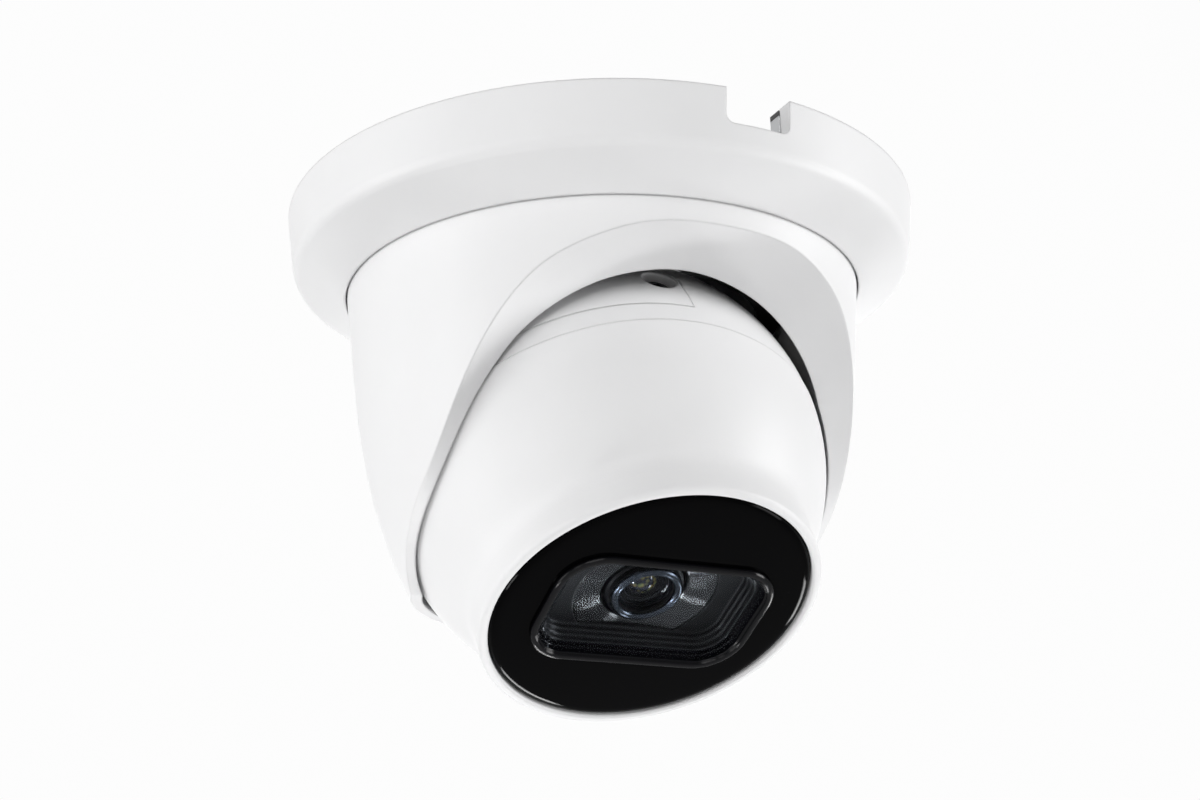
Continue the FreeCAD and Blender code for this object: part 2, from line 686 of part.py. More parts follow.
def lens_shroud():
    """Tray behind the lens window, its floor turned in fine rings round the lens."""
    body = rounded_block(GLASS_W, GLASS_H, GLASS_ROUND, 27.0, 31.3)
    nose = rounded_block(RECESS_W + 1.4, RECESS_H + 1.4, RECESS_ROUND + 0.7, 31.0, 32.5)
    body = union([body, nose])
    body = body.cut(rounded_block(RECESS_W, RECESS_H, RECESS_ROUND, SHROUD_FLOOR_T, 40))
    dish_low = SHROUD_FLOOR_T - 1.1
    dish = turned([(0, dish_low), (LENS_HOLE_R + 0.6, dish_low), (GROOVED_R, SHROUD_FLOOR_T - 0.35),
                   (GROOVED_R, SHROUD_FLOOR_T + 1), (0, SHROUD_FLOOR_T + 1)])
    return body.cut(dish).cut(rod(LENS_HOLE_R, 20, 40))


def light_baffle():
    return ring(8.6, 11.5, 22.0, 26.9)


def lens_barrel():
    body = union([rod(7.3, 16.0, 28.0), rod(LENS_RING_R, 28.0, 29.2), rod(6.0, 8.2, 16.0)])
    body = body.cut(rod(PUPIL_R, 27.0, 40)).cut(rod(3.2, 8.0, 28.0))
    return body.cut(turned([(0, 20), (3.2, 20), (PUPIL_R, 27.0), (PUPIL_R, 28), (0, 28)]))


def lens_front_ring():
    body = ring(PUPIL_R, LENS_RING_R, 29.2, LENS_FRONT_T)
    rims = [e for e in body.Edges if abs(e.BoundBox.ZMin - LENS_FRONT_T) < 1e-6]
    return body.makeFillet(0.35, rims)


def lens_front_element():
    seat_t = 27.0
    edge_t = 27.6
    crown = 1.5
    r = PUPIL_R - 0.05
    curvature_r = (r * r + crown * crown) / (2 * crown)
    dome = Part.makeSphere(curvature_r, V(0, 0, edge_t + crown - curvature_r))
    return rod(r, seat_t, edge_t + crown + 1).common(dome)


def lens_rear_element():
    return rod(3.1, 9.0, 10.6)


def lens_holder():
    body = union([block(18, 18, 4.2, 8.0), rod(8.2, 8.0, 15.6), block(27, 9.4, 5.0, 8.0)])
    body = body.cut(rod(6.06, 8.0, 20)).cut(rod(4.6, 0, 9))
    return body.cut(block(23.0, 7.9, HOLDER_SLOT_LOW, HOLDER_SLOT_HIGH))


def ircut_coil():
    """Voice coil that moves the filter tray, on the holder's side."""
    return union([block(9.0, 4.0, 5.4, 9.4, 0, 11.1), rod(1.6, 9.4, 10.6, 0, 11.1)])


def ircut_tray():
    body = block(15.6, 7.4, TRAY_LOW, TRAY_LOW + TRAY_T, -TRAY_TRAVEL / 2, 0)
    for x in (0, -TRAY_TRAVEL):
        body = body.cut(rod(2.6, 5, 9, x, 0))
    return body


def ircut_filters():
    panes = [rod(2.6, TRAY_LOW + 0.25, TRAY_LOW + 0.75, x, 0) for x in (0, -TRAY_TRAVEL)]
    return Part.makeCompound(panes)


def chassis_plate():
    """Plate across the front shell that carries the lens and the sensor board."""
    body = rod(34.5, 2.8, 4.2)
    body = body.cut(block(16, 12, 2, 5))
    for x, y in BOARD_POSTS:
        body = body.cut(rod(0.8, 0, 6, x, y))
    return body


def sensor_board():
    body = rounded_block(34, 34, 2.5, 1.2, 2.8)
    for x, y in BOARD_POSTS:
        body = body.cut(rod(1.1, 0, 6, x, y))
    return body


def sensor_board_screws():
    one = flip(screw(1.7, 1.1, 0.75, 2.8))
    return Part.makeCompound([at(one, x, y, 1.2) for x, y in BOARD_POSTS])


def image_sensor():
    return block(9.0, 7.0, 2.8, 4.0)


def led_board():
    body = rod(26.8, 27.4, 28.6)
    body = body.cut(rounded_block(GLASS_W + 0.8, GLASS_H + 0.8, GLASS_ROUND + 0.4, 20, 40))
    return body


def ir_leds():
    """Two infrared emitters in the upper half of the face, each on its base."""
    one = union([block(3.6, 3.6, 28.6, 29.4), Part.makeSphere(1.6, V(0, 0, 29.3)).common(rod(3, 29.3, 32))])
    return Part.makeCompound([at(one, x, 18.5, 0) for x in (-9.0, 9.0)])


def light_sensor():
    return block(2.2, 1.6, 28.6, 29.6, 6.0, -18.5)


def microphone():
    return rod(2.0, 28.6, 30.2, -7.0, -18.5)


def axial_lead():
    """Round lead along the optical axis, from the sensor board to the main board's socket."""
    return rod(1.1, BOARD_T + 1.9, 1.2)


# ---- placing and writing ---------------------------------------------------------------------

def place_in_ball(shape):
    """From the ball's own frame to the object's."""
    copy = shape.copy()
    copy.rotate(V(0, 0, 0), V(1, 0, 0), 180 - TILT)
    copy.translate(V(0, 0, BALL_Z))
    return copy


FIXED = (trim_ring, mounting_base, wall_gasket, lock_screw, pan_slip_ring)
CUP = (cup_shell, ball_seat_ring, seat_clamp_ring, clamp_screws, lip_pads)
BALL = (
    rear_shell, access_cover, cover_gasket, cover_screws, cable_gland, gland_nut, main_board,
    board_screws, processor, thermal_pad, heat_spreader, network_header, lead_connector,
    card_socket, memory_card, reset_switch, reset_button,
    front_shell, swivel_ring, swivel_screws, swivel_seal, front_panel, panel_gasket, window_frame,
    lens_window, lens_shroud, light_baffle, lens_barrel, lens_front_ring, lens_front_element,
    lens_rear_element, lens_holder, ircut_coil, ircut_tray, ircut_filters, chassis_plate,
    sensor_board, sensor_board_screws, image_sensor, led_board, ir_leds, light_sensor, microphone,
    axial_lead)


def main():
    os.makedirs("parts", exist_ok=True)
    for make in FIXED + CUP:
        make().exportStep("parts/" + make.__name__ + ".step")
    for make in BALL:
        place_in_ball(make()).exportStep("parts/" + make.__name__ + ".step")


main()
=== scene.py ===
import bpy
import bmesh
import json
import math
from mathutils import Matrix, Vector


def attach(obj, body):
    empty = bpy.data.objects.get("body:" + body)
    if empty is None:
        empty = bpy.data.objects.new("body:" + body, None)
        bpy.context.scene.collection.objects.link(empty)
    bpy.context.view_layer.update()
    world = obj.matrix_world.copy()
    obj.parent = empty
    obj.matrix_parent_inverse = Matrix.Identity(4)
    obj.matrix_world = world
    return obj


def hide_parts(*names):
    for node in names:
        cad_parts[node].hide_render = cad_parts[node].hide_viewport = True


# Turret security camera, hung from a ceiling: camera, light, floor, materials and the visible pieces
# that replace plain CAD nodes. Metres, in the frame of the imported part: the mounting face is z = 0
# and the cup's front is -Y.

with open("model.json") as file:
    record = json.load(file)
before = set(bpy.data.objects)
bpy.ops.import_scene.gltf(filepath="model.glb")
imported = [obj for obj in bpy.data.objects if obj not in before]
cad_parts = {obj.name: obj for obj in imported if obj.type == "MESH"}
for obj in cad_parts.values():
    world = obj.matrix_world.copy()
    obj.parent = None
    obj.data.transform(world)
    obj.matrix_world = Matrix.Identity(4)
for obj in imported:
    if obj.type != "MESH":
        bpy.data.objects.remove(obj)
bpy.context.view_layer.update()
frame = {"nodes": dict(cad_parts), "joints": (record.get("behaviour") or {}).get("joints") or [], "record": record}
nodes = frame["nodes"]

MM = 0.001


# ---- camera ----------------------------------------------------------------------------------

VIEW_AZIMUTH = math.radians(-27.17)      # from the object's front towards +X
VIEW_ELEVATION = math.radians(-24.79)
VIEW_DISTANCE = 0.3637
VIEW_YAW = math.radians(0.16)
VIEW_PITCH = math.radians(5.26)
VIEW_ROLL = math.radians(-1.74)
LENS = 54.75


def make_camera():
    """Looks at the origin from below, then turned a little so the object sits where it should."""
    flat = VIEW_DISTANCE * math.cos(VIEW_ELEVATION)
    place = Vector((flat * math.sin(VIEW_AZIMUTH), -flat * math.cos(VIEW_AZIMUTH),
                    VIEW_DISTANCE * math.sin(VIEW_ELEVATION)))
    forward = -place.normalized()
    right = forward.cross(Vector((0, 0, 1))).normalized()
    down = forward.cross(right)
    rows = Matrix((right, down, forward))
    turn = (Matrix.Rotation(VIEW_ROLL, 3, "Z") @ Matrix.Rotation(VIEW_PITCH, 3, "X")
            @ Matrix.Rotation(VIEW_YAW, 3, "Y"))
    right, down, forward = (turn @ rows)
    data = bpy.data.cameras.new("camera")
    data.lens = LENS
    data.sensor_width = 36.0
    data.clip_start = 0.01
    camera = bpy.data.objects.new("camera", data)
    camera.matrix_world = Matrix.Translation(place) @ Matrix((right, -down, -forward)).transposed().to_4x4()
    bpy.context.scene.collection.objects.link(camera)
    bpy.context.scene.camera = camera


make_camera()


# ---- light and floor -------------------------------------------------------------------------

FLOOR_Z = -0.75
FLOOR_HALF = 2.5
FRONT_LIGHT = 0.30
BACK_LIGHT = 0.98
OVERHEAD_SHARE = 0.5
DEPTH_SPAN = (0.0, 0.62)                 # over these +Y shares of a direction the light grows
OVERHEAD_SPAN = (0.6, 1.0)               # and over these +Z shares it fades


def area_light(name, place, aim, size, power):
    """Rectangular lamp at place, turned to aim; sizes in metres, power in watts, unseen by the camera."""
    data = bpy.data.lights.new(name, "AREA")
    data.shape = "RECTANGLE"
    data.size, data.size_y = size
    data.energy = power
    light = bpy.data.objects.new(name, data)
    light.location = place
    light.visible_camera = False
    light.rotation_euler = (Vector(aim) - Vector(place)).to_track_quat("-Z", "Y").to_euler()
    bpy.context.scene.collection.objects.link(light)


def world_light():
    """Pale surroundings, brightest behind the object and dimmer overhead and on the camera's side."""
    world = bpy.data.worlds.new("studio")
    world.use_nodes = True
    tree = world.node_tree
    background = tree.nodes["Background"]
    direction = tree.nodes.new("ShaderNodeSeparateXYZ")
    tree.links.new(tree.nodes.new("ShaderNodeTexCoord").outputs["Generated"], direction.inputs[0])

    def ramp(source, low, high, from_low, from_high):
        made = tree.nodes.new("ShaderNodeMapRange")
        made.interpolation_type = "SMOOTHSTEP"
        limits = {"From Min": from_low, "From Max": from_high, "To Min": low, "To Max": high}
        for name, value in limits.items():
            made.inputs[name].default_value = value
        tree.links.new(source, made.inputs["Value"])
        return made.outputs["Result"]

    depth = ramp(direction.outputs["Y"], FRONT_LIGHT, BACK_LIGHT, *DEPTH_SPAN)
    height = ramp(direction.outputs["Z"], 1.0, OVERHEAD_SHARE, *OVERHEAD_SPAN)
    total = tree.nodes.new("ShaderNodeMath")
    total.operation = "MULTIPLY"
    tree.links.new(depth, total.inputs[0])
    tree.links.new(height, total.inputs[1])
    tree.links.new(total.outputs[0], background.inputs["Strength"])
    background.inputs["Color"].default_value = (1.0, 1.0, 1.0, 1.0)
    bpy.context.scene.world = world


CENTRE = (0.0, 0.0, -0.045)              # about the middle of the whole object
LENS_AIM = (0.0, -0.02, -0.08)           # near the lens window
LAMPS = (
    # name, place, aim, width and height, power
    ("left", (-0.72, 0.04, -0.10), CENTRE, (0.3, 0.7), 1.95),
    ("front_left", (-0.66, -0.42, 0.06), CENTRE, (0.2, 0.6), 0.6),
    ("right", (0.62, -0.36, -0.14), CENTRE, (0.22, 0.7), 4.1),
    ("front_top", (-0.35, -0.75, 0.22), CENTRE, (0.6, 0.25), 2.5),
    ("low", (-0.30, -0.38, -0.40), CENTRE, (0.6, 0.12), 0.15),
    ("back", (0.35, 0.65, 0.15), CENTRE, (0.6, 0.6), 1.0),
    # small ones, for the bright line on the face's rim and the gleams on the grooves
    ("edge", (0.085, 0.235, -0.385), LENS_AIM, (0.12, 0.03), 0.42),
    ("glint_left", (-0.17, 0.03, -0.36), LENS_AIM, (0.05, 0.05), 0.30),
    ("glint_right", (0.31, 0.10, -0.33), LENS_AIM, (0.06, 0.06), 0.26),
)


def studio():
    for lamp in LAMPS:
        area_light(*lamp)
    world_light()
    bpy.context.scene.view_settings.view_transform = "Standard"


def floor():
    mesh = bpy.data.meshes.new("floor")
    corners = [(x * FLOOR_HALF, y * FLOOR_HALF, FLOOR_Z) for x, y in ((-1, -1), (1, -1), (1, 1), (-1, 1))]
    mesh.from_pydata(corners, [], [(0, 1, 2, 3)])
    plane = bpy.data.objects.new("floor", mesh)
    bpy.context.scene.collection.objects.link(plane)
    plane.data.materials.append(plain("floor_paint", (0.60, 0.60, 0.60), 0.8))


# ---- materials -------------------------------------------------------------------------------

PLASTIC_IOR = 1.5
NOISE_ROUGHNESS = 0.55
# The lighter edge colour is a painted highlight along sharp edges; only the lower roughness there stands for
# rubbing.
EDGE_SHEEN_GAIN = 6.0                          # colour changes this much more than roughness along edges
EDGE_RADIUS = 0.0006                     # how far the bevel shading reaches from an edge


class Shader:
    """A material's nodes, built by short calls."""

    def __init__(self, name):
        self.material = bpy.data.materials.new(name)
        self.material.use_nodes = True
        self.tree = self.material.node_tree
        self.tree.nodes.clear()
        self.rounded_normal = None
        self.output = self.node("ShaderNodeOutputMaterial")
        self.position = self.node("ShaderNodeTexCoord").outputs["Object"]

    def node(self, kind, **values):
        made = self.tree.nodes.new(kind)
        for key, value in values.items():
            setattr(made, key, value)
        return made

    def link(self, source, target):
        self.tree.links.new(source, target)

    def principled(self, **values):
        bsdf = self.node("ShaderNodeBsdfPrincipled")
        for name, value in values.items():
            bsdf.inputs[name.replace("_", " ")].default_value = value
        self.link(bsdf.outputs[0], self.output.inputs["Surface"])
        self.bsdf = bsdf

    def noise(self, scale, detail=3.0, stretch=None):
        made = self.node("ShaderNodeTexNoise")
        made.inputs["Scale"].default_value = scale
        made.inputs["Detail"].default_value = detail
        made.inputs["Roughness"].default_value = NOISE_ROUGHNESS
        place = self.position
        if stretch:
            mapping = self.node("ShaderNodeMapping")
            mapping.inputs["Scale"].default_value = stretch
            self.link(place, mapping.inputs["Vector"])
            place = mapping.outputs["Vector"]
        self.link(place, made.inputs["Vector"])
        return made.outputs["Fac"]

    def spread(self, source, low, high, source_low=0.3, source_high=0.7):
        """Maps a noise value to a range."""
        made = self.node("ShaderNodeMapRange")
        made.inputs["From Min"].default_value = source_low
        made.inputs["From Max"].default_value = source_high
        made.inputs["To Min"].default_value = low
        made.inputs["To Max"].default_value = high
        self.link(source, made.inputs["Value"])
        return made.outputs["Result"]

    def blend_colours(self, factor, first, second):
        made = self.node("ShaderNodeMix", data_type="RGBA")
        self.link(factor, made.inputs["Factor"])
        for value, socket in ((first, made.inputs["A"]), (second, made.inputs["B"])):
            if isinstance(value, bpy.types.NodeSocket):
                self.link(value, socket)
            else:
                socket.default_value = (*value, 1.0)
        return made.outputs["Result"]

    def edge_mask(self, radius):
        """0 on flat and gently curved faces, rising to 1 along sharp edges."""
        rounded = self.node("ShaderNodeBevel", samples=6)
        rounded.inputs["Radius"].default_value = radius
        self.rounded_normal = rounded.outputs["Normal"]
        plain_normal = self.node("ShaderNodeNewGeometry")
        dot = self.node("ShaderNodeVectorMath", operation="DOT_PRODUCT")
        self.link(rounded.outputs["Normal"], dot.inputs[0])
        self.link(plain_normal.outputs["Normal"], dot.inputs[1])
        return self.spread(dot.outputs["Value"], 1.0, 0.0, 0.80, 0.995)

    def bump(self, height, distance):
        made = self.node("ShaderNodeBump")
        made.inputs["Distance"].default_value = distance
        made.inputs["Strength"].default_value = 1.0
        self.link(height, made.inputs["Height"])
        if self.rounded_normal:
            self.link(self.rounded_normal, made.inputs["Normal"])
        self.link(made.outputs["Normal"], self.bsdf.inputs["Normal"])


def plain(name, colour, roughness):
    shader = Shader(name)
    shader.principled(Roughness=roughness)
    tone = shader.spread(shader.noise(6.0), 0.0, 1.0)
    darker = tuple(c * 0.96 for c in colour)
    shader.link(shader.blend_colours(tone, darker, colour), shader.bsdf.inputs["Base Color"])
    return shader.material


def moulded(name, colour, roughness, grain=2600.0, grain_depth=6e-6, edge_sheen_and_wear=0.06, coat=0.0,
            metallic=0.0, mottle=0.03, edge_sheen_colour=None, specular=0.5):
    """Moulded or coated surface: fine grain, a little mottling, sharp edges painted a lighter colour as a
    highlight and made slightly smoother as if rubbed.
    """
    shader = Shader(name)
    shader.principled(IOR=PLASTIC_IOR, Metallic=metallic, Coat_Weight=coat, Coat_Roughness=0.12,
                      Specular_IOR_Level=specular)
    fine = shader.noise(grain, 2.0)
    broad = shader.noise(38.0, 4.0)
    edges = shader.edge_mask(EDGE_RADIUS)
    shade = tuple(c * (1.0 - mottle) for c in colour)
    body = shader.blend_colours(shader.spread(broad, 0.0, 1.0), shade, colour)
    # Painted highlight: sharp edges get a lighter colour than the face.
    edge_sheen = edge_sheen_colour or tuple(min(1.0, c * 1.06 + 0.01) for c in colour)
    amount = shader.node("ShaderNodeMath", operation="MULTIPLY")
    shader.link(edges, amount.inputs[0])
    amount.inputs[1].default_value = edge_sheen_and_wear * EDGE_SHEEN_GAIN
    shader.link(shader.blend_colours(amount.outputs[0], body, edge_sheen), shader.bsdf.inputs["Base Color"])
    total = shader.node("ShaderNodeMath", operation="ADD")
    shader.link(shader.spread(broad, roughness * 0.93, roughness * 1.07), total.inputs[0])
    smoother = shader.node("ShaderNodeMath", operation="MULTIPLY")
    shader.link(edges, smoother.inputs[0])
    smoother.inputs[1].default_value = -edge_sheen_and_wear
    shader.link(smoother.outputs[0], total.inputs[1])
    shader.link(total.outputs[0], shader.bsdf.inputs["Roughness"])
    shader.bump(fine, grain_depth)
    return shader.material


def brushed(name, colour, roughness, stretch=(900.0, 900.0, 40.0), depth=4e-6):
    """Turned or drawn metal with fine lines."""
    shader = Shader(name)
    shader.principled(Metallic=1.0)
    lines = shader.noise(1.0, 3.0, stretch=stretch)
    broad = shader.noise(120.0, 3.0)
    dark = tuple(c * 0.82 for c in colour)
    shader.link(shader.blend_colours(shader.spread(lines, 0.0, 1.0), dark, colour),
                shader.bsdf.inputs["Base Color"])
    shader.link(shader.spread(broad, roughness * 0.8, roughness * 1.25), shader.bsdf.inputs["Roughness"])
    shader.bump(lines, depth)
    return shader.material


def circuit_board():
    """Green solder mask with lighter copper runs under it and small tinned pads."""
    shader = Shader("circuit_board")
    shader.principled(Coat_Weight=0.3, Coat_Roughness=0.15)
    runs = shader.node("ShaderNodeTexBrick")
    runs.inputs["Scale"].default_value = 260.0
    runs.inputs["Mortar Size"].default_value = 0.05
    runs.inputs["Color1"].default_value = (0.012, 0.11, 0.045, 1)
    runs.inputs["Color2"].default_value = (0.016, 0.14, 0.055, 1)
    runs.inputs["Mortar"].default_value = (0.03, 0.24, 0.10, 1)
    shader.link(shader.position, runs.inputs["Vector"])
    pads = shader.node("ShaderNodeTexVoronoi")
    pads.inputs["Scale"].default_value = 420.0
    shader.link(shader.position, pads.inputs["Vector"])
    spot = shader.spread(pads.outputs["Distance"], 1.0, 0.0, 0.10, 0.14)
    shader.link(shader.blend_colours(spot, runs.outputs["Color"], (0.62, 0.60, 0.52)),
                shader.bsdf.inputs["Base Color"])
    shader.link(shader.spread(shader.noise(180.0), 0.30, 0.45), shader.bsdf.inputs["Roughness"])
    shader.bump(spot, 2e-5)
    return shader.material


def clear_window(name, tint, head_on=0.003, grazing_on=1.0):
    """Thin coated glass: clear, with a mirror reflection that grows towards grazing angles."""
    shader = Shader(name)
    clear = shader.node("ShaderNodeBsdfTransparent")
    clear.inputs["Color"].default_value = (*tint, 1.0)
    gloss = shader.node("ShaderNodeBsdfGlossy")
    smear = shader.spread(shader.noise(60.0, 4.0), 0.0, 0.05)
    shader.link(smear, gloss.inputs["Roughness"])
    facing = shader.node("ShaderNodeLayerWeight")
    facing.inputs["Blend"].default_value = 0.5
    grazing = shader.node("ShaderNodeMath", operation="POWER")
    shader.link(facing.outputs["Facing"], grazing.inputs[0])
    grazing.inputs[1].default_value = 5.0
    reflection = shader.spread(grazing.outputs[0], head_on, grazing_on, 0.0, 1.0)
    mixed = shader.node("ShaderNodeMixShader")
    shader.link(reflection, mixed.inputs[0])
    shader.link(clear.outputs[0], mixed.inputs[1])
    shader.link(gloss.outputs[0], mixed.inputs[2])
    shader.link(mixed.outputs[0], shader.output.inputs["Surface"])
    return shader.material


def inner_optic(name):
    """Coated inner lens: patches of amber and green on near black, as stacked coatings reflect."""
    shader = Shader(name)
    shader.principled(Coat_Weight=1.0, Coat_Roughness=0.02)
    patches = shader.node("ShaderNodeTexVoronoi")
    patches.inputs["Scale"].default_value = 900.0
    shader.link(shader.position, patches.inputs["Vector"])
    dark_gaps = shader.spread(patches.outputs["Distance"], 1.0, 0.0, 0.15, 0.55)
    warm = shader.blend_colours(shader.spread(shader.noise(700.0, 2.0), 0.0, 1.0), (0.75, 0.42, 0.08),
                                (0.25, 0.42, 0.14))
    shader.link(shader.blend_colours(dark_gaps, (0.02, 0.02, 0.03), warm), shader.bsdf.inputs["Base Color"])
    shader.link(shader.spread(shader.noise(900.0), 0.05, 0.12), shader.bsdf.inputs["Roughness"])
    return shader.material


def make_materials():
    rubber = dict(grain=3400.0, grain_depth=1.2e-5, specular=0.35)
    return {
        "white_plastic": moulded("white_plastic", (0.80, 0.80, 0.805), 0.46, 2200.0, 7e-6, 0.05),
        "white_metal": moulded("white_metal", (0.80, 0.80, 0.805), 0.50, 3600.0, 1.6e-5, 0.05),
        "black_acrylic": moulded("black_acrylic", (0.0010, 0.0010, 0.0012), 0.04, 300.0, 5e-7, 0.02,
                                 specular=0.035),
        # The frame's edges are painted a lighter bluish grey: a painted highlight and sheen on its rounded edges.
        "frame_black": moulded("frame_black", (0.003, 0.003, 0.004), 0.09, 900.0, 2e-7, 0.03,
                               edge_sheen_colour=(0.02, 0.02, 0.024), specular=0.22),
        "matte_black": moulded("matte_black", (0.005, 0.005, 0.006), 0.36, 900.0, 1e-7, specular=0.30),
        "grooved_black": moulded("grooved_black", (0.006, 0.006, 0.007), 0.12, 900.0, 1e-7, specular=1.0),
        "window_clear": clear_window("window_clear", (0.93, 0.95, 0.97), 0.002, 0.22),
        "lens_glass": clear_window("lens_glass", (0.86, 0.87, 0.90), 0.010, 0.5),
        "lens_inner": inner_optic("lens_inner"),
        "lens_stop": moulded("lens_stop", (0.004, 0.004, 0.005), 0.35, 2500.0, 2e-6, specular=0.12),
        "lens_metal": brushed("lens_metal", (0.085, 0.096, 0.115), 0.24, depth=1e-6),
        "black_rubber": moulded("black_rubber", (0.018, 0.018, 0.018), 0.62, **rubber),
        "grey_foam": moulded("grey_foam", (0.10, 0.10, 0.10), 0.9, 1400.0, 6e-5, mottle=0.25),
        "cast_base": moulded("cast_base", (0.55, 0.56, 0.57), 0.45, 900.0, 3e-5, 0.1, metallic=1.0,
                             mottle=0.15),
        "acetal": moulded("acetal", (0.78, 0.77, 0.70), 0.35, 1800.0, 4e-6),
        "steel_screw": brushed("steel_screw", (0.58, 0.58, 0.60), 0.30),
        "black_screw": brushed("black_screw", (0.045, 0.045, 0.05), 0.38),
        "circuit_board": circuit_board(),
        "chip_black": moulded("chip_black", (0.022, 0.022, 0.024), 0.5, 4200.0, 5e-6),
        "thermal_grey": moulded("thermal_grey", (0.30, 0.36, 0.45), 0.7, 1600.0, 2e-5, mottle=0.12),
        "fin_aluminium": brushed("fin_aluminium", (0.70, 0.71, 0.72), 0.34, (60.0, 900.0, 900.0)),
        "nickel_shell": brushed("nickel_shell", (0.66, 0.64, 0.58), 0.26),
        "led_epoxy": moulded("led_epoxy", (0.05, 0.008, 0.02), 0.10, 900.0, 1e-6, coat=1.0),
        "filter_glass": clear_window("filter_glass", (0.45, 0.80, 0.78)),
        "sensor_glass": moulded("sensor_glass", (0.06, 0.04, 0.09), 0.12, 2600.0, 1e-6, coat=1.0),
        "lead_jacket": moulded("lead_jacket", (0.03, 0.03, 0.03), 0.55, 2500.0, 1e-5),
    }


materials = make_materials()


def paint_cad_nodes():
    """Every CAD node takes the material of its record slot, in all its material slots."""
    for row in frame["record"]["subparts"]:
        obj = nodes[row["node"]]
        obj.data.materials.clear()
        obj.data.materials.append(materials[row["material_slot"]])


paint_cad_nodes()


# ---- mesh building ---------------------------------------------------------------------------

def ball_frame():
    """From the ball's own frame, +z along the optical axis and +y up the face, to the object's."""
    spin = next(row for row in frame["joints"] if row["name"] == "rotation")
    z = Vector(spin["axis"]).normalized()
    x = Vector((1.0, 0.0, 0.0))
    y = z.cross(x)
    turn = Matrix((x, y, z)).transposed().to_4x4()
    return Matrix.Translation(spin["pos_m"]) @ turn


BALL = ball_frame()
AROUND = 240                     # points round a lofted loop
SHARP_ANGLE = math.radians(32)
CAP_INSET = 0.02                 # share of the way to the middle, keeps a cap's shading flat
DOME_RINGS = 14


def finish_piece(name, bm, material, body, replaced=()):
    """Bmesh in millimetres, in the ball's frame, to a smooth shaded object that rides on a body."""
    bmesh.ops.remove_doubles(bm, verts=bm.verts, dist=1e-4)
    bmesh.ops.dissolve_degenerate(bm, edges=bm.edges, dist=1e-4)
    bmesh.ops.recalc_face_normals(bm, faces=bm.faces)
    for face in bm.faces:
        face.smooth = True
    for edge in bm.edges:
        edge.smooth = len(edge.link_faces) == 2 and edge.calc_face_angle(0.0) < SHARP_ANGLE
    bm.transform(BALL @ Matrix.Scale(MM, 4))
    mesh = bpy.data.meshes.new(name)
    bm.to_mesh(mesh)
    bm.free()
    mesh.materials.append(materials[material])
    obj = bpy.data.objects.new(name, mesh)
    bpy.context.scene.collection.objects.link(obj)
    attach(obj, body)
    if replaced:
        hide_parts(*replaced)


def loft(loops, closed=False):
    """Skin over loops of equally many points; closed joins last to first, else both ends are capped."""
    bm = bmesh.new()
    rows = [[bm.verts.new(point) for point in loop] for loop in loops]
    pairs = list(zip(rows, rows[1:])) + ([(rows[-1], rows[0])] if closed else [])
    for below, above in pairs:
        for i in range(len(below)):
            j = (i + 1) % len(below)
            bm.faces.new((below[i], below[j], above[j], above[i]))
    if not closed:
        for row in (rows[0], rows[-1]):
            middle = sum((v.co for v in row), Vector()) / len(row)
            inset = [bm.verts.new(v.co.lerp(middle, CAP_INSET)) for v in row]
            centre = bm.verts.new(middle)
            for i in range(len(row)):
                j = (i + 1) % len(row)
                bm.faces.new((row[i], row[j], inset[j], inset[i]))
                bm.faces.new((inset[i], inset[j], centre))
    return bm


def circle_reach(radius):
    return lambda angle: radius


def rectangle_reach(width, height, corner):
    """Distance from the centre to a rounded rectangle, as a function of the angle."""
    half_w, half_h = width / 2, height / 2
    centre_x, centre_y = half_w - corner, half_h - corner

    def reach(angle):
        c, s = abs(math.cos(angle)), abs(math.sin(angle))
        far = min(half_w / max(c, 1e-9), half_h / max(s, 1e-9))
        if far * c > centre_x and far * s > centre_y:
            along = c * centre_x + s * centre_y
            far = along + math.sqrt(along ** 2 - centre_x ** 2 - centre_y ** 2 + corner ** 2)
        return far
    return reach


def polar_loop(reach, height):
    """Loop about the optical axis; height is one number or a function of the distance from it."""
    loop = []
    for i in range(AROUND):
        angle = 2 * math.pi * i / AROUND
        radius = reach(angle)
        level = height(radius) if callable(height) else height
        loop.append((radius * math.cos(angle), radius * math.sin(angle), level))
    return loop


def grown(width, height, corner, by):
    return rectangle_reach(width + 2 * by, height + 2 * by, corner + by)


# ---- lens window and what it shows -----------------------------------------------------------
#
# Millimetres in the ball's frame. A profile is a row of (outward from the outline, height) or
# (radius, height) pairs, the height being measured along the optical axis from the ball's centre.

FRAME_SIZE = (42.6, 26.6, 8.5)   # width, height and corner radius, in millimetres
GLASS_SIZE = (39.2, 23.6, 6.6)
RECESS_SIZE = (34.8, 19.2, 4.6)
PANEL_TOP = 33.9                 # middle of the crowned panel, along the optical axis
SHROUD_FLOOR = 29.2
GROOVES_FROM, GROOVES_TO = 8.3, 13.4
DISH_SEAT, DISH_FLOOR = 27.6, 28.15
GROOVE_RISE = 0.8
FIT = 0.02                       # play between the grooved dish and its seat
BARREL_HOLE = 7.9                # radius of the hole that the lens barrel comes through
TRAY_BACK = 27.0
PANEL_BACK = 31.4
PANEL_GAP = 0.72                 # from the glass outline to the panel's hole, under the frame
GROOVE_PITCH = 0.44
GROOVE_DEPTH = 0.19
GROOVE_STEPS = 6                 # loops per groove
PANEL_RADIUS = 29.45
PANEL_CROWN = 0.3                # how far the panel's middle stands above its face at CROWN_TO
CROWN_TO = 28.0
PLAIN_TO = 27.2                  # radius where the rolled rim begins


